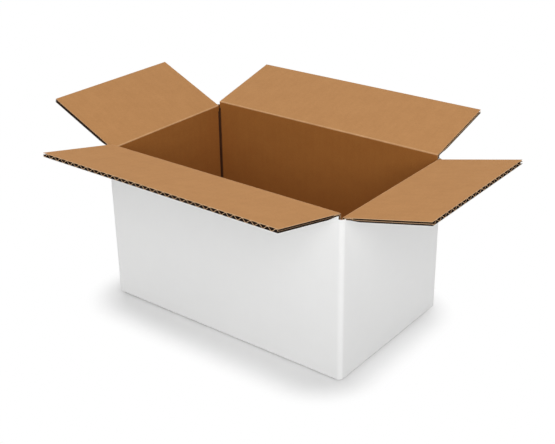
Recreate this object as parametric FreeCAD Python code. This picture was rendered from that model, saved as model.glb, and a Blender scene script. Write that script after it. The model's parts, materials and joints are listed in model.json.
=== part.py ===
"""Slotted shipping carton of single-wall corrugated board, standing open on its glued bottom.

One slotted sheet is folded into four walls, a glue tab and two layers of bottom flaps. Those never
move once the carton is made up, so they are one solid, box_body. The four top flaps swing on their
creases and are a solid each. They are modelled upright and then leaned out to the angle at which
they rest.

Frame: millimetres, +Z up, origin on the floor at the centre of the footprint. +X runs along the
long walls. The front is -Y.
"""
import FreeCAD, Part
import math
import os

# Room inside, from the floor of the closed carton to the underside of its closed short flaps
inside_length = 254.0
inside_width = 150.0
inside_height = 135.0

# The board: two flat liners with fluted paper between them
board = 3.7
liner = 0.4
fluted_paper = 0.35
flute_pitch = 7.8
glue_line = 1.3

# Folds
corner_radius = 4.4
bottom_fold_radius = 2.0
score_radius = 1.5
crease_gap = 0.2
pressed_length = 8.0

# Cuts
slot_width = 9.0
slot_overrun = 1.5
meeting_gap = 2.4
bottom_seam = 0.5
tip_flute_depth = 15.0

# The glue tab inside the front wall, at its left end
tab_width = 35.0
tab_taper = 8.0
tab_clearance = 1.5
seam_width = 0.8

# How far each top flap leans out of upright at rest
front_lean_deg = 77.8
back_lean_deg = 75.7
left_lean_deg = 65.1
right_lean_deg = 76.9

# Sizes that follow
outer_length = inside_length + 2 * board
outer_width = inside_width + 2 * board
floor_top = 2 * board
short_crease = floor_top + inside_height + board
long_crease = short_crease + board + crease_gap
slot_bottom = short_crease - slot_overrun
long_flap_width = outer_length - slot_width
short_flap_width = outer_width - slot_width
long_flap_length = (outer_width - meeting_gap) / 2
short_flap_length = long_flap_length
spill = 1.0

# Where the hollows' outlines bend, as shares of half their width
BENDS = (-0.6, -0.25, 0.25, 0.6)


def vector(x, y, z):
    return FreeCAD.Vector(x, y, z)


def box(low, high):
    """Box between two corners."""
    size = [high[i] - low[i] for i in range(3)]
    return Part.makeBox(size[0], size[1], size[2], vector(*low))


def prism(points, along):
    """Solid swept straight along a vector from a closed outline."""
    wire = Part.makePolygon(points + points[:1])
    return Part.Face(wire).extrude(along)


def turned(shape, quarter_turns):
    """Copy of a shape turned about the upright axis of the carton."""
    copy = shape.copy()
    copy.rotate(vector(0, 0, 0), vector(0, 0, 1), 90 * quarter_turns)
    return copy


def flute_height(s, pitch):
    """Height of the fluted paper's middle above the board's outer face."""
    swing = (board - 2 * liner - fluted_paper) / 2
    return board / 2 + swing * math.sin(2 * math.pi * s / pitch)


def flute_half_thickness(s, pitch):
    """Half of the fluted paper's thickness, measured square to the board where the paper slopes."""
    swing = (board - 2 * liner - fluted_paper) / 2
    slope = swing * 2 * math.pi / pitch * math.cos(2 * math.pi * s / pitch)
    return fluted_paper / 2 * math.sqrt(1 + slope * slope)


def hollow_outline(centre, pitch, inner):
    """Outline of one hollow between a liner and the fluted paper, as (s, height) points."""
    reach = (pitch - glue_line) / 2
    side = 1 if inner else -1
    liner_height = board - liner if inner else liner
    outline = [(centre - reach, liner_height)]
    for share in BENDS:
        s = centre + share * reach
        outline.append((s, flute_height(s, pitch) + side * flute_half_thickness(s, pitch)))
    outline.append((centre + reach, liner_height))
    return outline


def flute_hollows(width, start, end):
    """All hollows of a board of one width, running up from start to end.

    The outer face of the board is at y = 0. The fluted paper meets both side edges halfway up, so
    each side edge shows a hollow on either side of it.
    """
    count = max(1, round(width / flute_pitch))
    pitch = width / count
    hollows = []
    for inner, phase, first in ((True, 0.75, -1), (False, 0.25, 0)):
        for number in range(first, first + count + 1):
            outline = hollow_outline((number + phase) * pitch, pitch, inner)
            points = [vector(s - width / 2, height, start) for s, height in outline]
            hollows.append(prism(points, vector(0, 0, end - start)))
    return hollows


def upright_flap(width, length):
    """Top flap standing on its crease: the crease runs along X through the origin, outside is -Y.

    The root is mitred, so that the flap closes against the wall's own mitre. Beside the crease the
    board is pressed flat and holds no flutes.
    """
    root = crease_gap / 2
    side = [
        vector(-width / 2, 0, root),
        vector(-width / 2, board, root + board),
        vector(-width / 2, board, length),
        vector(-width / 2, 0, length),
    ]
    sheet = prism(side, vector(width, 0, 0))
    return sheet.cut(flute_hollows(width, pressed_length, length + spill))


def top_flap(width, length, lean, crease_height, reach, quarter_turns):
    """Top flap leaned out and carried to its crease, reach away from the middle of the carton."""
    flap = upright_flap(width, length)
    flap.rotate(vector(0, 0, 0), vector(1, 0, 0), lean)
    flap.translate(vector(0, -reach, crease_height))
    return turned(flap, quarter_turns)


def outer_block():
    """Block with the carton's outside, its vertical and bottom folds rounded."""
    block = box((-outer_length / 2, -outer_width / 2, 0), (outer_length / 2, outer_width / 2, long_crease))
    upright = [edge for edge in block.Edges if edge.BoundBox.ZLength > long_crease / 2]
    block = block.makeFillet(corner_radius, upright)
    lowest = [edge for edge in block.Edges if edge.BoundBox.ZMax < bottom_fold_radius / 2]
    return block.makeFillet(bottom_fold_radius, lowest)


def wall_top_cutter(width, reach, crease_height, quarter_turns):
    """What is cut off above a wall to leave its mitred top, on which a flap is creased."""
    edge = crease_height - crease_gap / 2
    inward = board + spill
    side = [
        vector(-width / 2, -reach - spill, edge + spill),
        vector(-width / 2, -reach + inward, edge - inward),
        vector(-width / 2, -reach + inward, long_crease + spill),
        vector(-width / 2, -reach - spill, long_crease + spill),
    ]
    return turned(prism(side, vector(width, 0, 0)), quarter_turns)


def corner_cutter(sign_x, sign_y, low, high):
    """What a slot takes away at one vertical fold, between two heights."""
    near = (outer_length / 2 - slot_width / 2, outer_width / 2 - slot_width / 2)
    far = (outer_length / 2 + spill, outer_width / 2 + spill)
    xs = sorted((sign_x * near[0], sign_x * far[0]))
    ys = sorted((sign_y * near[1], sign_y * far[1]))
    return box((xs[0], ys[0], low), (xs[1], ys[1], high))


def corners():
    """Signs of x and y at the four vertical folds."""
    return [(sign_x, sign_y) for sign_x in (-1, 1) for sign_y in (-1, 1)]


def bottom_cutters():
    """Gaps round the bottom flaps: the slots, the seam of the long pair and the well of the short pair."""
    half_x = inside_length / 2
    half_y = inside_width / 2
    flap_x = long_flap_width / 2
    flap_y = short_flap_width / 2
    well_x = outer_length / 2 - short_flap_length
    cutters = [
        box((-flap_x, -bottom_seam / 2, -spill), (flap_x, bottom_seam / 2, board)),
        box((-well_x, -half_y, board), (well_x, half_y, floor_top)),
    ]
    for sign in (-1, 1):
        xs = sorted((sign * flap_x, sign * half_x))
        cutters.append(box((xs[0], -half_y, -spill), (xs[1], half_y, board)))
        ys = sorted((sign * flap_y, sign * half_y))
        cutters.append(box((-half_x, ys[0], board), (half_x, ys[1], floor_top)))
    return cutters


def bottom_tip_hollows():
    """Open flutes in the cut ends of the two short bottom flaps, which show from above."""
    hollows = []
    for quarter_turns in (1, 3):
        tip = outer_length / 2 - short_flap_length
        for hollow in flute_hollows(short_flap_width, tip - spill, tip + tip_flute_depth):
            hollow.rotate(vector(0, 0, 0), vector(1, 0, 0), 90)
            hollow.translate(vector(0, 0, board))
            hollows.append(turned(hollow, quarter_turns))
    return hollows


def glue_tab():
    """Tab that continues the left wall and is glued flat inside the front wall."""
    start = -inside_length / 2
    inner_face = -inside_width / 2
    low = floor_top + tab_clearance
    high = short_crease - board - tab_clearance
    outline = [
        vector(start, inner_face, low),
        vector(start + tab_width, inner_face, low + tab_taper),
        vector(start + tab_width, inner_face, high - tab_taper),
        vector(start, inner_face, high),
    ]
    return prism(outline, vector(0, board, 0))


def score_groove(sign_x, sign_y):
    """Groove that a vertical fold is scored with on its inside. The glue tab moves one of them in."""
    behind_tab = sign_x < 0 and sign_y < 0
    x = sign_x * inside_length / 2
    y = sign_y * inside_width / 2 + (board if behind_tab else 0)
    return Part.makeCylinder(score_radius, long_crease, vector(x, y, floor_top))


def box_body():
    """The folded sheet without its top flaps."""
    body = outer_block()
    room = box((-inside_length / 2, -inside_width / 2, floor_top), (inside_length / 2, inside_width / 2, long_crease + spill))
    body = body.cut([room] + bottom_cutters())
    cutters = [
        wall_top_cutter(long_flap_width, outer_width / 2, long_crease, 0),
        wall_top_cutter(short_flap_width, outer_length / 2, short_crease, 1),
        wall_top_cutter(long_flap_width, outer_width / 2, long_crease, 2),
        wall_top_cutter(short_flap_width, outer_length / 2, short_crease, 3),
    ]
    for sign_x, sign_y in corners():
        cutters.append(corner_cutter(sign_x, sign_y, slot_bottom, long_crease + spill))
        cutters.append(corner_cutter(sign_x, sign_y, -spill, slot_overrun))
    body = body.cut(cutters)
    body = body.fuse(glue_tab()).removeSplitter()
    seam_start = -outer_length / 2 + corner_radius
    seam = box((seam_start, -outer_width / 2 - spill, -spill), (seam_start + seam_width, -inside_width / 2, long_crease + spill))
    grooves = [score_groove(sign_x, sign_y) for sign_x, sign_y in corners()]
    return body.cut([seam] + grooves + bottom_tip_hollows())


def all_parts():
    """Every sub-part under the name of its file."""
    long_size = (long_flap_width, long_flap_length)
    short_size = (short_flap_width, short_flap_length)
    return {
        "box_body": box_body(),
        "front_flap": top_flap(*long_size, front_lean_deg, long_crease, outer_width / 2, 0),
        "right_flap": top_flap(*short_size, right_lean_deg, short_crease, outer_length / 2, 1),
        "back_flap": top_flap(*long_size, back_lean_deg, long_crease, outer_width / 2, 2),
        "left_flap": top_flap(*short_size, left_lean_deg, short_crease, outer_length / 2, 3),
    }


def main():
    """Build each sub-part, print what it measures and write it to its STEP file."""
    os.makedirs("parts", exist_ok=True)
    for name, shape in all_parts().items():
        solid = shape.Solids[0]
        size = shape.BoundBox
        print(name, "solids", len(shape.Solids), "valid", shape.isValid(), "faces", len(shape.Faces))
        print("  volume", round(shape.Volume), "from", [round(v, 2) for v in (size.XMin, size.YMin, size.ZMin)],
              "to", [round(v, 2) for v in (size.XMax, size.YMax, size.ZMax)])
        solid.exportStep(f"parts/{name}.step")


main()
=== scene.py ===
"""Open shipping carton of corrugated board, white outside and brown inside, in plain studio light.

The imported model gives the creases, leans and sizes. Around it this script models the board as it is
made: a white liner and a brown liner with fluted paper between them, pressed flat at the creases.
"""
from __future__ import annotations

import json
import logging
import math
from dataclasses import dataclass, field
from enum import Enum
from typing import Callable, Sequence

import bmesh
import bpy
from mathutils import Matrix, Vector

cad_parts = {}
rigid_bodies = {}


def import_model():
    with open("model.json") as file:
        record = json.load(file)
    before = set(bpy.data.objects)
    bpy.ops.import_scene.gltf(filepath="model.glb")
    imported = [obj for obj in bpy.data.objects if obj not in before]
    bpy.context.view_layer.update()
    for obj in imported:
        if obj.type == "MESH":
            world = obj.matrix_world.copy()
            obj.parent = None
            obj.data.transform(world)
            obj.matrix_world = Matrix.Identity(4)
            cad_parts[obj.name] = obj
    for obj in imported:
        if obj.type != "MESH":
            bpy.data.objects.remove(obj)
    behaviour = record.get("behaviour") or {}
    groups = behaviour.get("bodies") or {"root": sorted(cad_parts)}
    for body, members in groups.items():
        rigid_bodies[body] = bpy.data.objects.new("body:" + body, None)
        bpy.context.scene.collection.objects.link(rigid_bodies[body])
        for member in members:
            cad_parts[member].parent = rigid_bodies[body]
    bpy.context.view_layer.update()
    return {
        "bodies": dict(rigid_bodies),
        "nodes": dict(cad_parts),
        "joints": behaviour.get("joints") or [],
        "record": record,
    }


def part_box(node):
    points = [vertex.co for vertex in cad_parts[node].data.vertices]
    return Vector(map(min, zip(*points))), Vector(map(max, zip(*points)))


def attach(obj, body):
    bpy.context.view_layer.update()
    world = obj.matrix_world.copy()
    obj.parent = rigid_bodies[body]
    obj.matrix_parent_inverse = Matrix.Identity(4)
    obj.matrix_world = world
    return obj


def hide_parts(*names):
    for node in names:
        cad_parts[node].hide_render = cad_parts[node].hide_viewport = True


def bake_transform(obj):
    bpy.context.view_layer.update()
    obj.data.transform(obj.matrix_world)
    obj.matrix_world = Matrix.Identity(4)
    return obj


LOG = logging.getLogger("carton")
MM = 0.001
NEAR = 0.02 * MM
SQUARE_ON = 0.999
PINCH_SHARES = (0.15, 0.35, 0.6, 0.85, 1.1)
Point = tuple[float, float]


class Side(Enum):
    """The four walls, with the quarter turns that carry the front one to each."""

    FRONT = 0
    RIGHT = 1
    BACK = 2
    LEFT = 3

    @property
    def word(self) -> str:
        """Name of the side in lower case."""
        return self.name.lower()

    @property
    def is_long(self) -> bool:
        """Whether the wall is one of the long pair."""
        return self in (Side.FRONT, Side.BACK)

    @property
    def turn(self) -> Matrix:
        """Turn about the upright axis from the front wall's place."""
        return Matrix.Rotation(math.radians(90 * self.value), 4, "Z")


class Run(Enum):
    """Axis along which the flutes of a panel follow each other."""

    ALONG_X = "X"
    ALONG_Y = "Y"


class Part(Enum):
    """Kind of element that a selection is made of."""

    POINTS = "VERT"
    EDGES = "EDGE"
    FACES = "FACE"


class Sock:
    """Socket of a node tree. Sums and products of it add the nodes for them."""

    def __init__(self, tree: "Shader", socket: bpy.types.NodeSocket) -> None:
        """Keep the socket and the tree that it is in."""
        self.tree = tree
        self.socket = socket

    def _join(self, kind: str, first: object, second: object) -> "Sock":
        """Math node of one kind on two values."""
        return self.tree.node("ShaderNodeMath", {"operation": kind}, {0: first, 1: second})

    def __add__(self, other: object) -> "Sock":
        """Sum."""
        return self._join("ADD", self, other)

    def __sub__(self, other: object) -> "Sock":
        """Difference."""
        return self._join("SUBTRACT", self, other)

    def __rsub__(self, other: object) -> "Sock":
        """Difference from a number."""
        return self._join("SUBTRACT", other, self)

    def __mul__(self, other: object) -> "Sock":
        """Product."""
        return self._join("MULTIPLY", self, other)

    def __pow__(self, other: object) -> "Sock":
        """Power."""
        return self._join("POWER", self, other)

    __radd__ = __add__
    __rmul__ = __mul__


class Shader:
    """Material or world under construction."""

    def __init__(self, name: str, among: bpy.types.bpy_prop_collection | None = None) -> None:
        """Start one with an empty tree.

        Args:
            name: Its name.
            among: The collection that it is made in, which is the materials if none is given.
        """
        self.made = (bpy.data.materials if among is None else among).new(name)
        self.made.use_nodes = True
        self.tree = self.made.node_tree
        self.tree.nodes.clear()

    def node(
        self, kind: str, settings: dict | None = None, inputs: dict | None = None, output: object = 0
    ) -> Sock:
        """Add a node.

        Args:
            kind: Type of the node.
            settings: Its properties, which are set first.
            inputs: Values or sockets by the input's name or number.
            output: Name or number of the output that is wanted.

        Returns:
            The output.
        """
        made = self.tree.nodes.new(kind)
        for key, value in (settings or {}).items():
            setattr(made, key, value)
        for key, value in (inputs or {}).items():
            if isinstance(value, Sock):
                self.tree.links.new(value.socket, made.inputs[key])
            else:
                made.inputs[key].default_value = value
        return Sock(self, made.outputs[output])

    def place(self, turn: Sequence[float] = (0, 0, 0), scale: Sequence[float] = (1, 1, 1)) -> Sock:
        """Object coordinates, turned and stretched.

        Args:
            turn: Angles about the axes in radians.
            scale: Stretch along the axes.

        Returns:
            The coordinates.
        """
        point = self.node("ShaderNodeTexCoord", output="Object")
        return self.node("ShaderNodeMapping", {}, {"Vector": point, "Rotation": turn, "Scale": scale})

    def noise(self, point: Sock, size: float, detail: float = 3.0, roughness: float = 0.55) -> Sock:
        """Noise about its own middle.

        Args:
            point: Coordinates.
            size: Rough size of a feature in metres.
            detail: Octaves.
            roughness: Share that each finer octave keeps.

        Returns:
            A value from about -0.5 to 0.5.
        """
        inputs = {"Vector": point, "Scale": 1 / size, "Detail": detail, "Roughness": roughness}
        return self.node("ShaderNodeTexNoise", {}, inputs, "Fac") - 0.5

    def blend(self, factor: object, first: object, second: object) -> Sock:
        """Mix of two colours.

        Args:
            factor: Share of the second.
            first: One colour.
            second: The other colour.

        Returns:
            The mixed colour.
        """
        inputs = {"Factor": factor, "A": first, "B": second}
        made = self.tree.nodes.new("ShaderNodeMix")
        made.data_type = "RGBA"
        sockets = {"Factor": made.inputs[0], "A": made.inputs[6], "B": made.inputs[7]}
        for key, value in inputs.items():
            if isinstance(value, Sock):
                self.tree.links.new(value.socket, sockets[key])
            else:
                sockets[key].default_value = value
        return Sock(self, made.outputs[2])

    def seen(self) -> Sock:
        """1 for rays from the camera, also by way of a reflection or through glass, and 0 for light."""
        glossy = self.node("ShaderNodeLightPath", output="Is Glossy Ray")
        through = self.node("ShaderNodeLightPath", output="Is Transmission Ray")
        total = self.node("ShaderNodeLightPath", output="Is Camera Ray") + glossy + through
        return self.node("ShaderNodeClamp", {}, {"Value": total})

    def finish(self, surface: Sock) -> bpy.types.ID:
        """Join the surface to the output.

        Args:
            surface: The shader's output.

        Returns:
            The material or world.
        """
        is_world = isinstance(self.made, bpy.types.World)
        out = self.tree.nodes.new("ShaderNodeOutputWorld" if is_world else "ShaderNodeOutputMaterial")
        self.tree.links.new(surface.socket, out.inputs["Surface"])
        return self.made


@dataclass(frozen=True)
class PaperFinish:
    """Paper of one colour with fibres, clouds and the faint lines of the flutes beneath."""

    name: str
    pale: tuple[float, float, float]
    dark: tuple[float, float, float]
    roughness: float
    cloud: float
    fibre: float
    grain: float
    line: float = 0.0
    run: Run = Run.ALONG_X
    pitch: float = 7.8 * MM
    relief: float = 0.25
    relief_depth: float = 0.12 * MM
    specular: float = 0.3
    cloud_size: float = 14 * MM
    fleck_size: float = 1.6 * MM
    fibre_sizes: tuple[float, float] = (0.45 * MM, 0.5 * MM)

    def make(self) -> bpy.types.Material:
        """Build the material.

        Returns:
            The material.
        """
        shader = Shader(self.name)
        plain = shader.place()
        cloud = shader.noise(plain, self.cloud_size, 4.0)
        fleck = shader.noise(plain, self.fleck_size, 3.0, 0.7)
        along = shader.noise(shader.place((0.3, 0.2, 0.5), (1, 1, 0.12)), self.fibre_sizes[0], 2.0)
        across = shader.noise(shader.place((1.1, 0.4, 0.9), (1, 0.14, 1)), self.fibre_sizes[1], 2.0)
        fibre = along + across
        tone = 0.5 + cloud * self.cloud + fleck * self.grain + fibre * self.fibre
        height = fibre * 0.5 + fleck
        if self.line:
            wave = self.flute_lines(shader)
            tone = tone + wave * self.line
            height = height + wave * (self.line * 6)
        tone = shader.node("ShaderNodeClamp", {}, {"Value": tone})
        colour = shader.blend(tone, (*self.dark, 1), (*self.pale, 1))
        ripple = {"Strength": self.relief, "Distance": self.relief_depth, "Height": height}
        bump = shader.node("ShaderNodeBump", {}, ripple)
        rough = shader.node("ShaderNodeClamp", {}, {"Value": fleck * 0.12 + self.roughness})
        surface = shader.node(
            "ShaderNodeBsdfPrincipled",
            {},
            {"Base Color": colour, "Roughness": rough, "Normal": bump, "Specular IOR Level": self.specular},
        )
        return shader.finish(surface)

    def flute_lines(self, shader: Shader) -> Sock:
        """Waves as wide as the flutes, from -1 to 1.

        Args:
            shader: The material under construction.

        Returns:
            The height of the waves.
        """
        point = shader.node("ShaderNodeTexCoord", output="Object")
        apart = shader.node("ShaderNodeSeparateXYZ", {}, {0: point}, self.run.value)
        turned = apart * (2 * math.pi / self.pitch)
        return shader.node("ShaderNodeMath", {"operation": "SINE"}, {0: turned})


@dataclass(frozen=True)
class BackdropFinish:
    """Pale matt floor with a white glow for the camera that paints over the real shadow, except in a fixed
    band round the carton's footprint shifted towards the front, where the shadow shows.
    """

    half_x: float
    half_y: float
    name: str = "studio_floor"
    colour: tuple[float, float, float] = (0.85, 0.85, 0.85)
    shift: tuple[float, float] = (0 * MM, -10 * MM)
    inset: tuple[float, float] = (33 * MM, 25 * MM)
    near: float = 25 * MM
    far: float = 67 * MM

    def make(self) -> bpy.types.Material:
        """Build the material.

        Returns:
            The material.
        """
        shader = Shader(self.name)
        point = shader.node("ShaderNodeTexCoord", output="Object")
        total = 0.0
        for number, (axis, half) in enumerate((("X", self.half_x), ("Y", self.half_y))):
            along = shader.node("ShaderNodeSeparateXYZ", {}, {0: point}, axis) - self.shift[number]
            distance = shader.node("ShaderNodeMath", {"operation": "ABSOLUTE"}, {0: along})
            apart = distance - (half - self.inset[number])
            total = total + shader.node("ShaderNodeMath", {"operation": "MAXIMUM"}, {0: apart, 1: 0.0}) ** 2
        # Painted light: the white glow fades in with distance from a fixed rectangle, not with the shadow,
        # so it hides the shadow beside the carton and keeps it in front.
        ramp = {"Value": total ** 0.5, "From Min": self.near, "From Max": self.far}
        clear = shader.node("ShaderNodeMapRange", {"interpolation_type": "SMOOTHSTEP"}, ramp, "Result")
        matt = shader.node("ShaderNodeBsdfDiffuse", {}, {"Color": (*self.colour, 1)})
        white = shader.node("ShaderNodeEmission", {}, {"Color": (1, 1, 1, 1), "Strength": 1.0})
        inputs = {"Fac": shader.seen() * clear, 1: matt, 2: white}
        return shader.finish(shader.node("ShaderNodeMixShader", {}, inputs))


@dataclass(frozen=True)
class SkyFinish:
    """Even light all round, white to the camera and in reflections."""

    name: str = "studio_world"
    level: float = 0.36

    def make(self) -> bpy.types.World:
        """Build the world.

        Returns:
            The world.
        """
        shader = Shader(self.name, bpy.data.worlds)
        soft = shader.node("ShaderNodeBackground", {}, {"Color": (1, 1, 1, 1), "Strength": self.level})
        white = shader.node("ShaderNodeBackground", {}, {"Color": (1, 1, 1, 1), "Strength": 1.0})
        inputs = {"Fac": shader.seen(), 1: soft, 2: white}
        return shader.finish(shader.node("ShaderNodeMixShader", {}, inputs))


@dataclass
class Papers:
    """All paper finishes of the carton."""

    white_x: bpy.types.Material = field(init=False)
    white_y: bpy.types.Material = field(init=False)
    brown_x: bpy.types.Material = field(init=False)
    brown_y: bpy.types.Material = field(init=False)
    inside_x: bpy.types.Material = field(init=False)
    inside_y: bpy.types.Material = field(init=False)
    brown_edge: bpy.types.Material = field(init=False)
    white_edge: bpy.types.Material = field(init=False)
    fluting: bpy.types.Material = field(init=False)
    hollow: bpy.types.Material = field(init=False)
    groove: bpy.types.Material = field(init=False)
    rim: bpy.types.Material = field(init=False)

    def __post_init__(self) -> None:
        """Build them."""
        white = {"pale": (0.90, 0.90, 0.895), "dark": (0.84, 0.84, 0.835), "roughness": 0.5}
        brown = {"pale": (0.550, 0.275, 0.100), "dark": (0.415, 0.192, 0.062), "roughness": 0.82}
        # The inside of the walls gets a darker, more saturated copy of the brown liner: painted shade of the
        # carton's interior.
        shaded_brown = {"pale": (0.440, 0.180, 0.038), "dark": (0.335, 0.125, 0.022), "roughness": 0.85}
        kraft = {"cloud": 0.55, "fibre": 0.22, "grain": 0.9, "line": 0.025}
        coated = {"cloud": 0.3, "fibre": 0.1, "grain": 0.2, "line": 0.01}
        kinds = (("inside", shaded_brown, kraft), ("white", white, coated), ("brown", brown, kraft))
        for run in Run:
            tail = run.value.lower()
            for word, colours, texture in kinds:
                paper = PaperFinish(f"{word}_liner_{tail}", run=run, **colours, **texture)
                setattr(self, f"{word}_{tail}", paper.make())
        self.brown_edge = PaperFinish(
            "brown_cut_edge", (0.82, 0.55, 0.33), (0.62, 0.37, 0.19), 0.9,
            cloud=0.4, fibre=0.9, grain=1.2,
        ).make()
        self.white_edge = PaperFinish(
            "white_cut_edge", (0.93, 0.92, 0.90), (0.82, 0.80, 0.76), 0.8,
            cloud=0.3, fibre=0.6, grain=0.8,
        ).make()
        self.fluting = PaperFinish(
            "fluting_paper", (0.40, 0.22, 0.10), (0.24, 0.12, 0.05), 0.9,
            cloud=0.8, fibre=1.0, grain=1.2,
        ).make()
        # Paler brown on the rounded fold of the inner strip: partly the wear of scuffed fibres, partly a
        # painted highlight where the fold catches light.
        self.rim = PaperFinish(
            "brown_liner_worn_at_folds", (0.70, 0.41, 0.20), (0.52, 0.27, 0.11), 0.85,
            cloud=1.2, fibre=0.8, grain=1.2,
        ).make()
        # Near-black brown for the grooves in the inner corners and the inner bevel of the corner cores:
        # painted shade.
        self.groove = PaperFinish(
            "brown_liner_in_grooves", (0.13, 0.05, 0.015), (0.07, 0.025, 0.008), 0.9,
            cloud=0.6, fibre=0.6, grain=0.9,
        ).make()
        # Near-black paper for the faces inside the board, the fluted paper and the crushed flutes: painted
        # shade in the hollows of the board.
        self.hollow = PaperFinish(
            "paper_inside_hollows", (0.05, 0.022, 0.010), (0.02, 0.009, 0.005), 0.95,
            cloud=0.8, fibre=1.0, grain=1.2,
        ).make()

    def white(self, side: Side) -> bpy.types.Material:
        """White liner with its flute lines as they run on a side."""
        return self.white_x if side.is_long else self.white_y

    def inside(self, side: Side) -> bpy.types.Material:
        """Darker brown liner for inside the walls, a copy with painted shade of the interior."""
        return self.inside_x if side.is_long else self.inside_y

    def brown(self, side: Side) -> bpy.types.Material:
        """Brown liner with its flute lines as they run on a side."""
        return self.brown_x if side.is_long else self.brown_y


class Bench:
    """Edit mode on one object, with selections made by place."""

    def __init__(self, name: str) -> None:
        """Remember the name that the piece gets.

        Args:
            name: Name of the piece.
        """
        self.name = name

    def _adopt(self) -> None:
        """Name the new primitive and open it with all selected."""
        piece = bpy.context.active_object
        piece.name = self.name
        piece.data.name = self.name
        bpy.ops.object.mode_set(mode="EDIT")
        bpy.ops.mesh.select_all(action="SELECT")

    def grid(self, width: float, depth: float, columns: int, rows: int) -> None:
        """Flat grid centred on X, from y = 0 to depth.

        Args:
            width: Size along X.
            depth: Size along Y.
            columns: Faces along X.
            rows: Faces along Y.
        """
        bpy.ops.object.select_all(action="DESELECT")
        bpy.ops.mesh.primitive_grid_add(x_subdivisions=columns, y_subdivisions=rows, size=1.0)
        self._adopt()
        bpy.ops.transform.resize(value=(width, depth, 1.0))
        bpy.ops.transform.translate(value=(0, depth / 2, 0))

    def block(self, low: Vector, high: Vector) -> None:
        """Block between two corners.

        Args:
            low: Lowest corner.
            high: Highest corner.
        """
        bpy.ops.object.select_all(action="DESELECT")
        bpy.ops.mesh.primitive_cube_add(size=1.0)
        self._adopt()
        bpy.ops.transform.resize(value=tuple(high - low))
        bpy.ops.transform.translate(value=tuple((low + high) / 2))

    def pick(self, part: Part, test: Callable[..., bool]) -> int:
        """Select the elements whose every point passes a test.

        Args:
            part: Kind of element.
            test: Takes a point.

        Returns:
            How many were selected.
        """
        bpy.ops.mesh.select_mode(type=part.value)
        bpy.ops.mesh.select_all(action="DESELECT")
        mesh = bpy.context.edit_object.data
        work = bmesh.from_edit_mesh(mesh)
        if part is Part.POINTS:
            found = [item for item in work.verts if test(item.co)]
        elif part is Part.EDGES:
            found = [item for item in work.edges if all(test(v.co) for v in item.verts)]
        else:
            found = [item for item in work.faces if all(test(v.co) for v in item.verts)]
        for item in found:
            item.select_set(True)
        work.select_flush_mode()
        bmesh.update_edit_mesh(mesh)
        return len(found)

    def pick_edges(self, test: Callable[[Vector, Vector], bool]) -> int:
        """Select edges by both ends.

        Args:
            test: Takes the two ends.

        Returns:
            How many were selected.
        """
        bpy.ops.mesh.select_mode(type="EDGE")
        bpy.ops.mesh.select_all(action="DESELECT")
        mesh = bpy.context.edit_object.data
        work = bmesh.from_edit_mesh(mesh)
        found = [edge for edge in work.edges if test(edge.verts[0].co, edge.verts[1].co)]
        for edge in found:
            edge.select_set(True)
        work.select_flush_mode()
        bmesh.update_edit_mesh(mesh)
        return len(found)

    def highest(self) -> float:
        """Height of the highest point."""
        return max(v.co.z for v in bmesh.from_edit_mesh(bpy.context.edit_object.data).verts)

    def move(self, x: float = 0, y: float = 0, z: float = 0) -> None:
        """Move the selection."""
        bpy.ops.transform.translate(value=(x, y, z))

    def close(self, *materials: bpy.types.Material) -> bpy.types.Object:
        """Leave edit mode and give the piece its materials.

        Args:
            materials: One for each slot.

        Returns:
            The piece.
        """
        bpy.ops.mesh.select_mode(type="VERT")
        bpy.ops.object.mode_set(mode="OBJECT")
        piece = bpy.context.active_object
        for material in materials:
            piece.data.materials.append(material)
        return piece

    def section_sheet(self, section: Sequence[Point], width: float, columns: int = 1) -> None:
        """Sheet whose section in the YZ plane runs through given points, centred on X.

        Args:
            section: Points as (y, z).
            width: Size along X.
            columns: Faces along X.
        """
        rows = len(section) - 1
        self.grid(width, rows * MM, columns, rows)
        self.move(z=-1.0)
        for number, (y, z) in enumerate(section):
            old = number * MM
            self.pick(Part.POINTS, lambda p, old=old: abs(p.y - old) < NEAR and p.z < -0.9)
            self.move(y=y - old, z=z + 1.0)


def modifier(piece: bpy.types.Object, kind: str, **settings: object) -> None:
    """Add a modifier to a piece and apply it.

    Args:
        piece: The piece.
        kind: Type of the modifier.
        settings: Its properties.
    """
    bpy.ops.object.select_all(action="DESELECT")
    piece.select_set(True)
    bpy.context.view_layer.objects.active = piece
    bpy.ops.object.modifier_add(type=kind)
    added = piece.modifiers[-1]
    for key, value in settings.items():
        setattr(added, key, value)
    bpy.ops.object.modifier_apply(modifier=added.name)


def thicken(
    piece: bpy.types.Object, thickness: float, offset: float = -1.0, rim: int = 1, back: int = 0
) -> None:
    """Turn a sheet into paper with a thickness and cut edges.

    Args:
        piece: The sheet.
        thickness: Thickness of the paper.
        offset: -1 puts it behind the sheet's front, 0 on both sides, 1 before it.
        rim: How many slots further the cut edge's material is.
        back: How many slots further the material of the second face is.
    """
    modifier(
        piece, "SOLIDIFY", thickness=thickness, offset=offset, use_even_offset=True,
        material_offset_rim=rim, material_offset=back,
    )


def settle(piece: bpy.types.Object, place: Matrix, smooth: float = 35.0) -> bpy.types.Object:
    """Carry a finished piece to its place, with the place in its mesh.

    Args:
        piece: The piece.
        place: Where it goes.
        smooth: Angle in degrees up to which it is shaded smooth.

    Returns:
        The piece.
    """
    bpy.ops.object.select_all(action="DESELECT")
    piece.select_set(True)
    bpy.context.view_layer.objects.active = piece
    piece.matrix_world = place
    bpy.ops.object.transform_apply(location=True, rotation=True, scale=True)
    bpy.ops.object.shade_smooth_by_angle(angle=math.radians(smooth))
    modifier(piece, "WEIGHTED_NORMAL", keep_sharp=True, weight=80)
    return piece


def ease(share: float) -> float:
    """Smooth step from 0 to 1."""
    share = min(max(share, 0.0), 1.0)
    return share * share * (3 - 2 * share)


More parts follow.
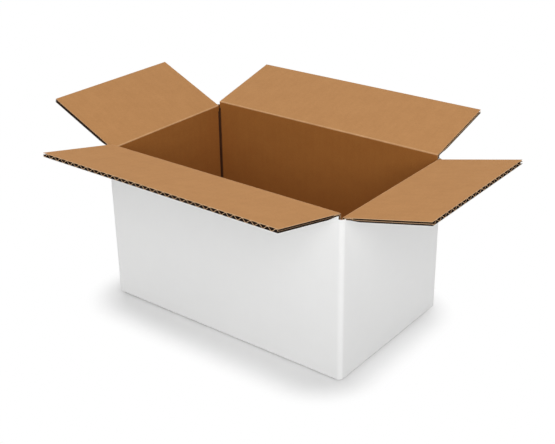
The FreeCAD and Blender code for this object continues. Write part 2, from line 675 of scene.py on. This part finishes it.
@dataclass
class Board:
    """Corrugated board and how it is pressed at a crease."""

    thickness: float = 3.7 * MM
    liner: float = 0.38 * MM
    paper: float = 0.36 * MM
    pitch: float = 7.8 * MM
    pinch: float = 1.2 * MM
    pinch_reach: float = 13.0 * MM
    pinch_start: float = 1.5 * MM
    steps: int = 12

    def outer_dip(self, along: float) -> float:
        """How far the outer liner lies below the board's outer face, beside a crease.

        Args:
            along: Distance from the crease.

        Returns:
            The depth.
        """
        return self.pinch * (1 - ease((along - self.pinch_start) / self.pinch_reach))


@dataclass
class Panel:
    """Rectangle of board hinged or fixed along one edge.

    In its own frame the crease is on the X axis, the panel runs along +Y and its outer face is at
    z = 0 with the board beneath it.
    """

    name: str
    body: str
    side: Side
    width: float
    length: float
    start: float
    place: Matrix
    board: Board
    papers: Papers
    pressed: bool = True

    def rows(self) -> list[float]:
        """Distances from the crease at which the panel's sheets have points."""
        near = [self.start]
        if self.pressed:
            near += [self.start + share * self.board.pinch_reach for share in PINCH_SHARES]
        return near + [self.length]

    def dip(self, along: float) -> float:
        """Depth of the outer liner below the outer face."""
        return self.board.outer_dip(along) if self.pressed else 0.0

    def build(self) -> list[bpy.types.Object]:
        """Model the two liners and the fluted paper.

        Returns:
            The three pieces.
        """
        pieces = [self.outer_liner(), self.inner_liner(), self.flutes()]
        for piece in pieces:
            settle(piece, self.place)
            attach(piece, self.body)
        return pieces

    def outer_liner(self) -> bpy.types.Object:
        """White sheet on the outer face, which dips beside a crease."""
        bench = Bench(f"{self.name}_outer_liner")
        bench.section_sheet([(s, -self.dip(s)) for s in self.rows()], self.width)
        # The back of the white sheet, towards the flutes, is near black: painted shade inside the board.
        piece = bench.close(self.papers.white(self.side), self.papers.white_edge, self.papers.hollow)
        thicken(piece, self.board.liner, back=2)
        return piece

    def inner_liner(self) -> bpy.types.Object:
        """Brown sheet on the inner face."""
        bench = Bench(f"{self.name}_inner_liner")
        level = self.board.liner - self.board.thickness
        bench.section_sheet([(self.start, level), (self.length, level)], self.width)
        # The face of the brown sheet towards the flutes is near black: painted shade inside the board.
        piece = bench.close(self.papers.hollow, self.papers.brown_edge, self.papers.brown(self.side))
        thicken(piece, self.board.liner, back=2)
        return piece

    def flutes(self) -> bpy.types.Object:
        """Fluted paper between the liners, crushed towards a crease. Its faces are near black, painted shade
        of the hollows, and only its cut edges are pale.
        """
        board = self.board
        count = max(1, round(self.width / board.pitch))
        pitch = self.width / count
        middle = -board.thickness / 2
        swing = (board.thickness - 2 * board.liner - board.paper) / 2
        rows = self.rows()
        bench = Bench(f"{self.name}_flutes")
        bench.grid(pitch, len(rows) * MM - MM, board.steps, len(rows) - 1)
        for step in range(board.steps + 1):
            x = pitch * (step / board.steps - 0.5)
            bench.pick(Part.POINTS, lambda p, x=x: abs(p.x - x) < NEAR)
            bench.move(z=math.sin(2 * math.pi * step / board.steps) * swing)
        for number in range(len(rows) - 1, -1, -1):
            along, old = rows[number], number * MM
            bench.pick(Part.POINTS, lambda p, old=old: abs(p.y - old) < NEAR)
            room = board.thickness - self.dip(along)
            share = (room - 2 * board.liner - board.paper) / 2 / swing
            bpy.ops.transform.resize(value=(1, 1, share), center_override=(0, 0, 0))
            bench.move(y=along - old, z=middle - self.dip(along) / 2)
        piece = bench.close(self.papers.hollow, self.papers.brown_edge)
        modifier(
            piece, "ARRAY", count=count, use_relative_offset=False, use_constant_offset=True,
            constant_offset_displace=(pitch, 0, 0), use_merge_vertices=True, merge_threshold=NEAR,
        )
        piece.data.transform(Matrix.Translation((pitch / 2 - self.width / 2, 0, 0)))
        thicken(piece, board.paper, 0.0)
        return piece


@dataclass
class Crease:
    """Fold between a wall and its top flap: two strips of liner and the pressed board between them.

    In its own frame the crease is on the X axis, +Y points into the carton and +Z up. The wall hangs
    below from y = 0 to the board's thickness, and the flap leans out towards -Y.
    """

    side: Side
    width: float
    lean: float
    place: Matrix
    board: Board
    papers: Papers
    below: float = 1.0 * MM
    mitre: float = 3.8 * MM
    beyond: float = 6.0 * MM
    bend: float = 1.0 * MM
    worn: float = 0.5 * MM
    steps: int = 6
    flat_steps: int = 7
    smooth: float = 50.0
    crushed_paper: float = 0.5 * MM
    crushed_at: float = 2.2 * MM
    crushed_depth: float = 2.6 * MM
    tucks: tuple[Point, ...] = ((0.1 * MM, -0.35 * MM), (0.4 * MM, 0.3 * MM), (0.3 * MM, 0.9 * MM))
    outer_rows: tuple[float, ...] = (0.6 * MM, 1.2 * MM, 2.2 * MM, 3.2 * MM, 4.5 * MM)

    def on_flap(self, along: float, depth: float) -> Point:
        """Point of the flap at rest.

        Args:
            along: Distance from the crease.
            depth: Depth below the flap's outer face, towards its inner face.

        Returns:
            The point as (y, z).
        """
        s, c = math.sin(self.lean), math.cos(self.lean)
        return (-along * s + depth * c, along * c + depth * s)

    def inner_line(self) -> list[Point]:
        """Section of the brown liner, drawn tight from the wall round the fold to the flap."""
        depth, half = self.board.thickness, self.lean / 2
        reach = (depth - self.bend) * math.tan(half)
        rows = self.flat_steps
        points = [(depth, -self.mitre + (reach + self.mitre) * step / rows) for step in range(rows)]
        for step in range(self.steps + 1):
            turn = self.lean * step / self.steps
            y = depth - self.bend + self.bend * math.cos(turn)
            points.append((y, reach + self.bend * math.sin(turn)))
        first = self.worn - reach
        for step in range(rows):
            points.append(self.on_flap(first + (self.mitre - first) * step / (rows - 1), depth))
        points.append(self.on_flap(self.beyond, depth))
        return points

    def outer_line(self) -> list[Point]:
        """Section of the white liner, which is crushed inwards at the fold."""
        points = [(0.0, -self.below), *self.tucks]
        for along in (*self.outer_rows, self.beyond):
            points.append(self.on_flap(along, self.board.outer_dip(along)))
        return points

    def middle_line(self) -> list[Point]:
        """Section of the crushed flutes, between the liners."""
        y = self.crushed_at
        points = [(y, -2.5 * MM), (y, -1.0 * MM), (y, 0.3 * MM), (2.0 * MM, 1.7 * MM)]
        for along in (0.0, 1.5 * MM, 3.0 * MM, self.beyond):
            points.append(self.on_flap(along, self.crushed_depth))
        return points

    def build(self) -> list[bpy.types.Object]:
        """Model the two liners and the crushed paper between them.

        Returns:
            The pieces.
        """
        word, papers, board = self.side.word, self.papers, self.board
        # The backs of the liner strips and both faces of the crushed flutes are near black: painted shade
        # between the liners.
        brown = (papers.brown(self.side), papers.brown_edge, papers.hollow)
        white = (papers.white(self.side), papers.white_edge, papers.hollow)
        crushed = (papers.hollow, papers.brown_edge, papers.hollow)
        return [
            self.strip(f"{word}_crease_inner_liner", self.inner_line(), brown, board.liner, flip=True),
            self.strip(f"{word}_crease_outer_liner", self.outer_line(), white, board.liner),
            self.strip(f"{word}_crease_crushed_flutes", self.middle_line(), crushed, self.crushed_paper),
        ]

    def strip(
        self,
        name: str,
        line: list[Point],
        papers: tuple[bpy.types.Material, ...],
        thickness: float,
        flip: bool = False,
    ) -> bpy.types.Object:
        """Strip of paper along the fold, placed for the flap at rest.

        Args:
            name: Its name.
            line: Its section, from the wall to the flap.
            papers: Materials of its face, its cut edge and its back.
            thickness: Thickness of the paper.
            flip: Whether its face looks into the carton.

        Returns:
            The piece.
        """
        bench = Bench(name)
        bench.section_sheet(line, self.width)
        if flip:
            bench.pick(Part.POINTS, lambda p: True)
            bpy.ops.mesh.flip_normals()
        piece = bench.close(*papers)
        thicken(piece, thickness, back=2)
        if flip:
            self.dress_fold(piece)
        settle(piece, self.place, self.smooth)
        across = Vector((0, -math.sin(self.lean / 2), math.cos(self.lean / 2)))
        reach = abs(Vector((0, *line[0])).dot(across))
        start, end = self.place @ (across * -reach), self.place @ (across * reach)
        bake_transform(piece)
        return piece

    def dress_fold(self, piece: bpy.types.Object) -> None:
        """Give the brown strip the walls' darker brown, with painted shade, up to the fold, and paler paper
        on the fold, partly wear and partly a painted highlight.

        Args:
            piece: The strip in its own frame.
        """
        shaded_wall_slot, wear_and_highlight_slot = len(piece.data.materials), len(piece.data.materials) + 1
        piece.data.materials.append(self.papers.inside(self.side))
        piece.data.materials.append(self.papers.rim)
        worn = self.worn - (self.board.thickness - self.bend) * math.tan(self.lean / 2)
        for face in piece.data.polygons:
            along = face.center.z * math.cos(self.lean) - face.center.y * math.sin(self.lean)
            if face.material_index:
                continue
            # Wall faces take the darker brown with painted shade; faces on the fold take the paler brown,
            # partly wear and partly painted highlight.
            if face.normal.y > SQUARE_ON:
                face.material_index = shaded_wall_slot
            elif along < worn:
                face.material_index = wear_and_highlight_slot


@dataclass
class Walls:
    """The four walls: a white shell outside, a brown shell inside and board between them at the top."""

    half_length: float
    half_width: float
    long_crease: float
    short_crease: float
    board: Board
    papers: Papers
    corner_radius: float = 4.4 * MM
    bottom_radius: float = 1.2 * MM
    bottom_lift: float = 0.8 * MM
    groove_half: float = 2.0 * MM
    groove_depth: float = 1.4 * MM
    below: float = 1.0 * MM
    mitre: float = 3.8 * MM
    post: float = 3.6 * MM
    core_gap: float = 0.25 * MM
    core_foot: float = 0.5 * MM
    core_drop: float = 0.2 * MM
    core_notch: float = 1.6 * MM

    @property
    def short_top(self) -> float:
        """Height at which the shells of the short walls end."""
        return self.short_crease - self.below

    def build(self) -> list[bpy.types.Object]:
        """Model the shells.

        Returns:
            The pieces.
        """
        pieces = [self.outer_shell(), self.inner_shell(), self.post_cores()]
        for piece in pieces:
            settle(piece, Matrix.Identity(4))
            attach(piece, "box")
        return pieces

    def raise_tops(self, bench: Bench, half_x: float, half_y: float, span: float, post: float) -> None:
        """Extrude a shell's top edges, the long walls to their crease and the corners to the slots.

        Args:
            bench: The shell in edit mode, as high as the short walls.
            half_x: Where the short walls are.
            half_y: Where the long walls are.
            span: How far from a corner a wall's straight edge ends.
            post: How far the corners rise above the short walls.
        """
        level = bench.highest()
        rise = self.long_crease - self.short_crease
        edge = half_x - span
        for sign in (-1, 1):
            bench.pick_edges(
                lambda a, b: all(
                    abs(p.z - level) < NEAR and abs(p.y - sign * half_y) < NEAR and abs(p.x) < edge + NEAR
                    for p in (a, b)
                )
            )
            bpy.ops.mesh.extrude_region_move(TRANSFORM_OT_translate={"value": (0, 0, rise)})
        low = half_y - span
        for sign_x, sign_y in ((-1, -1), (-1, 1), (1, -1), (1, 1)):
            bench.pick_edges(
                lambda a, b: all(
                    abs(p.z - level) < NEAR and p.x * sign_x > edge - NEAR and p.y * sign_y > low - NEAR
                    for p in (a, b)
                )
            )
            bpy.ops.mesh.extrude_region_move(TRANSFORM_OT_translate={"value": (0, 0, post)})

    def outer_shell(self) -> bpy.types.Object:
        """White liner round the walls, with rounded folds."""
        x, y, top = self.half_length, self.half_width, self.short_top
        bench = Bench("walls_outer_liner")
        low = self.bottom_lift
        bench.block(Vector((-x, -y, low)), Vector((x, y, top)))
        bench.pick_edges(lambda a, b: abs(a.z - b.z) > top / 2)
        bpy.ops.mesh.bevel(offset=self.corner_radius, segments=8, affect="EDGES")
        bench.pick_edges(lambda a, b: max(a.z, b.z) < low + NEAR)
        bpy.ops.mesh.bevel(offset=self.bottom_radius, segments=4, affect="EDGES")
        bench.pick(Part.FACES, lambda p: p.z < low + NEAR)
        bpy.ops.mesh.inset(thickness=self.board.thickness - self.bottom_radius)
        bench.move(z=-low)
        bpy.ops.mesh.delete(type="FACE")
        bench.pick(Part.FACES, lambda p: p.z > top - NEAR)
        bpy.ops.mesh.delete(type="ONLY_FACE")
        self.raise_tops(bench, x, y, self.corner_radius, self.post)
        piece = bench.close(self.papers.white_x, self.papers.white_y, self.papers.white_edge)
        paint_by_normal(piece)
        thicken(piece, self.board.liner, -1.0, 2)
        return piece

    def inner_shell(self) -> bpy.types.Object:
        """Brown liner inside the walls, grooved where they are folded. The walls take the darker brown with
        painted shade, and the grooves' faces are near black, painted shade in the grooves.
        """
        x, y = self.half_length - self.board.thickness, self.half_width - self.board.thickness
        low, top = self.board.thickness, self.short_crease - self.mitre
        bench = Bench("walls_inner_liner")
        bench.block(Vector((-x, -y, low)), Vector((x, y, top)))
        bench.pick_edges(lambda a, b: abs(a.z - b.z) > top / 2)
        bpy.ops.mesh.bevel(offset=self.groove_half, segments=2, affect="EDGES")
        bench.pick(Part.FACES, lambda p: p.z < low + NEAR)
        bpy.ops.mesh.delete(type="ONLY_FACE")
        bench.pick(Part.FACES, lambda p: p.z > top - NEAR)
        bpy.ops.mesh.delete(type="ONLY_FACE")
        push = self.groove_half * (1 - math.sqrt(0.5)) + self.groove_depth
        for sign_x in (-1, 1):
            for sign_y in (-1, 1):
                bench.pick(
                    Part.POINTS,
                    lambda p: p.x * sign_x > x - self.groove_half + NEAR and p.x * sign_x < x - NEAR
                    and p.y * sign_y > 0,
                )
                bench.move(sign_x * push, sign_y * push, 0)
        self.raise_tops(bench, x, y, self.groove_half, self.mitre - self.below)
        bench.pick(Part.POINTS, lambda p: True)
        bpy.ops.mesh.flip_normals()
        papers = self.papers
        piece = bench.close(papers.inside_x, papers.inside_y, papers.brown_edge, papers.groove)
        groove_shade_slot = len(piece.data.materials) - 1
        paint_by_normal(piece)
        # The groove's slanted faces get the near-black brown: painted shade in the groove.
        for face in piece.data.polygons:
            if min(abs(face.normal.x), abs(face.normal.y)) > 0.1:
                face.material_index = groove_shade_slot
        thicken(piece, self.board.liner, -1.0, 2)
        return piece

    def post_cores(self) -> bpy.types.Object:
        """Pressed board behind the white shell at the corners, up to where the slots end."""
        back = self.board.liner + self.core_gap
        x, y = self.half_length - back, self.half_width - back
        side = self.board.thickness - back
        bottom = self.short_top - self.core_foot
        top = self.short_top + self.post - self.core_drop
        bench = Bench("walls_board_in_corners")
        bench.block(Vector((x - side, y - side, bottom)), Vector((x, y, top)))
        bench.pick_edges(
            lambda a, b: abs(a.z - b.z) > MM and min(a.x, b.x) > x - NEAR and min(a.y, b.y) > y - NEAR
        )
        bpy.ops.mesh.bevel(offset=side * 0.95, segments=6, affect="EDGES")
        inner_x, inner_y = x - side + NEAR, y - side + NEAR
        bench.pick_edges(
            lambda a, b: abs(a.z - b.z) > MM and max(a.x, b.x) < inner_x and max(a.y, b.y) < inner_y
        )
        bpy.ops.mesh.bevel(offset=self.core_notch, segments=1, affect="EDGES")
        piece = bench.close(self.papers.fluting, self.papers.groove)
        # The inner corner's bevel gets the near-black brown: painted shade that carries the grooves' dark
        # line up to the top.
        for face in piece.data.polygons:
            if face.normal.x < -0.5 and face.normal.y < -0.5:
                face.material_index = 1
        modifier(piece, "MIRROR", use_axis=(True, True, False))
        return piece


def paint_by_normal(piece: bpy.types.Object) -> None:
    """Give the faces across X the second slot, so that their flute lines follow each other along Y.

    Args:
        piece: A shell of the walls.
    """
    for face in piece.data.polygons:
        face.material_index = 1 if abs(face.normal.x) > abs(face.normal.y) else 0


@dataclass
class Carton:
    """The whole carton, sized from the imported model."""

    frame: dict
    papers: Papers
    board: Board = field(default_factory=Board)
    crease_reach: float = 6 * MM
    half_seam: float = 0.25 * MM
    layer_gap: float = 0.05 * MM
    tab_width: float = 35 * MM
    tab_clearance: float = 1.5 * MM

    def hinge(self, side: Side) -> tuple[Vector, float]:
        """Crease of a side's flap.

        Args:
            side: The side.

        Returns:
            The middle of the crease and the lean at rest in radians.
        """
        name = f"{side.word}_flap_crease"
        joint = next(j for j in self.frame["joints"] if j["name"] == name)
        return Vector(joint["pos_m"]), math.radians(-joint["range_deg"][0] - 90)

    def flap_size(self, side: Side) -> tuple[float, float]:
        """Width along the crease and length of a flap."""
        low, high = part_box(f"{side.word}_flap")
        middle, lean = self.hinge(side)
        if side.is_long:
            width, out = high.x - low.x, max(-low.y, high.y) - abs(middle.y)
        else:
            width, out = high.y - low.y, max(-low.x, high.x) - abs(middle.x)
        return width, out / math.sin(lean)

    def build(self) -> list[bpy.types.Object]:
        """Model everything and put it in the place of the CAD nodes.

        Returns:
            All pieces.
        """
        front, _ = self.hinge(Side.FRONT)
        right, _ = self.hinge(Side.RIGHT)
        walls = Walls(right.x, -front.y, front.z, right.z, self.board, self.papers).build()
        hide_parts("box_body")
        made = list(walls)
        for side in Side:
            flap = self.top_flap(side)
            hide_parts(f"{side.word}_flap")
            made += flap + self.crease(side) + self.bottom_flap(side, right.x, -front.y)
        made += self.glue_tab(right.x, -front.y, right.z)
        return made

    def top_flap(self, side: Side) -> list[bpy.types.Object]:
        """Flap that swings on its crease."""
        middle, lean = self.hinge(side)
        width, length = self.flap_size(side)
        open_out = Matrix.Rotation(lean + math.pi / 2, 4, "X")
        place = Matrix.Translation(middle) @ side.turn @ open_out
        name = f"{side.word}_flap"
        start = self.crease_reach
        return Panel(name, name, side, width, length, start, place, self.board, self.papers).build()

    def crease(self, side: Side) -> list[bpy.types.Object]:
        """Fold of a top flap."""
        middle, lean = self.hinge(side)
        width, _ = self.flap_size(side)
        place = Matrix.Translation(middle) @ side.turn
        return Crease(side, width, lean, place, self.board, self.papers).build()

    def bottom_flap(self, side: Side, half_x: float, half_y: float) -> list[bpy.types.Object]:
        """Glued flap of the bottom. The long pair lies outside the short pair."""
        width, _ = self.flap_size(side)
        thickness = self.board.thickness
        reach = half_y if side.is_long else half_x
        level = 0.0 if side.is_long else thickness
        length = half_y - self.half_seam
        start = thickness if side.is_long else thickness + self.layer_gap
        upside_down = Matrix.Rotation(math.pi, 4, "Y")
        place = side.turn @ Matrix.Translation((0, -reach, level)) @ upside_down
        name, board = f"{side.word}_bottom_flap", self.board
        panel = Panel(name, "box", side, width, length, start, place, board, self.papers, pressed=False)
        return panel.build()

    def glue_tab(self, half_x: float, half_y: float, short_crease: float) -> list[bpy.types.Object]:
        """Tab of the left wall, glued inside the front wall."""
        board = self.board
        low = 2 * board.thickness + self.tab_clearance
        high = short_crease - board.thickness - self.tab_clearance
        middle = Vector((board.thickness - half_x, 2 * board.thickness - half_y, (low + high) / 2))
        across = Matrix(((0, 1, 0, 0), (0, 0, -1, 0), (-1, 0, 0, 0), (0, 0, 0, 1)))
        place = Matrix.Translation(middle) @ across
        size = (high - low, self.tab_width)
        panel = Panel("glue_tab", "box", Side.FRONT, *size, 0.0, place, board, self.papers, pressed=False)
        return panel.build()


@dataclass
class Studio:
    """Camera, lamps, floor and background."""

    half_x: float
    half_y: float
    eye: tuple[float, float, float] = (0.52111, -0.65899, 0.48072)
    aim: tuple[float, float, float] = (0.00533, -0.0003, 0.08259)
    roll: float = math.radians(-0.847)
    lens: float = 65.15
    sensor: float = 36.0
    floor_size: float = 24.0

    def build(self) -> None:
        """Make them all."""
        self.camera()
        self.floor()
        bpy.context.scene.world = SkyFinish().make()
        self.lamp("lamp_over", eye=(-2.4, 2.6, 7.2), aim=(0.0, 0.0, 0.1), size=4.2, power=270.0)
        self.lamp("lamp_front", eye=(1.05, -1.22, 1.0), aim=(0.0, 0.0, 0.08), size=1.2, power=17.0)
        bpy.context.scene.view_settings.view_transform = "Standard"

    def camera(self) -> None:
        """Camera at the place from which the carton looks as in the photograph."""
        data = bpy.data.cameras.new("camera")
        data.lens = self.lens
        data.sensor_width = self.sensor
        camera = bpy.data.objects.new("camera", data)
        bpy.context.scene.collection.objects.link(camera)
        forward = Vector(self.aim) - Vector(self.eye)
        turned = forward.to_track_quat("-Z", "Y").to_matrix().to_4x4()
        camera.matrix_world = Matrix.Translation(self.eye) @ turned @ Matrix.Rotation(self.roll, 4, "Z")
        bpy.context.scene.camera = camera

    def floor(self) -> None:
        """Wide flat floor."""
        bench = Bench("studio_floor")
        bench.grid(self.floor_size, self.floor_size, 2, 2)
        bench.move(y=-self.floor_size / 2)
        piece = bench.close(BackdropFinish(self.half_x, self.half_y).make())

    def lamp(self, name: str, eye: Sequence[float], aim: Sequence[float], size: float, power: float) -> None:
        """Square soft lamp.

        Args:
            name: Its name.
            eye: Where it is.
            aim: What it points at.
            size: Length of its side.
            power: Watts.
        """
        data = bpy.data.lights.new(name, "AREA")
        data.size = size
        data.energy = power
        lamp = bpy.data.objects.new(name, data)
        bpy.context.scene.collection.objects.link(lamp)
        forward = Vector(aim) - Vector(eye)
        lamp.matrix_world = Matrix.Translation(eye) @ forward.to_track_quat("-Z", "Y").to_matrix().to_4x4()


def main() -> None:
    """Load the frame, build the carton and the studio round it, and log each piece's face count."""
    logging.basicConfig(level=logging.INFO, format="%(name)s: %(message)s")
    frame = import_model()
    carton = Carton(frame, Papers())
    for piece in carton.build():
        LOG.info("%s has %d faces", piece.name, len(piece.data.polygons))
    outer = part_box("box_body")[1]
    Studio(outer.x, outer.y).build()


if __name__ == "__main__":
    main()
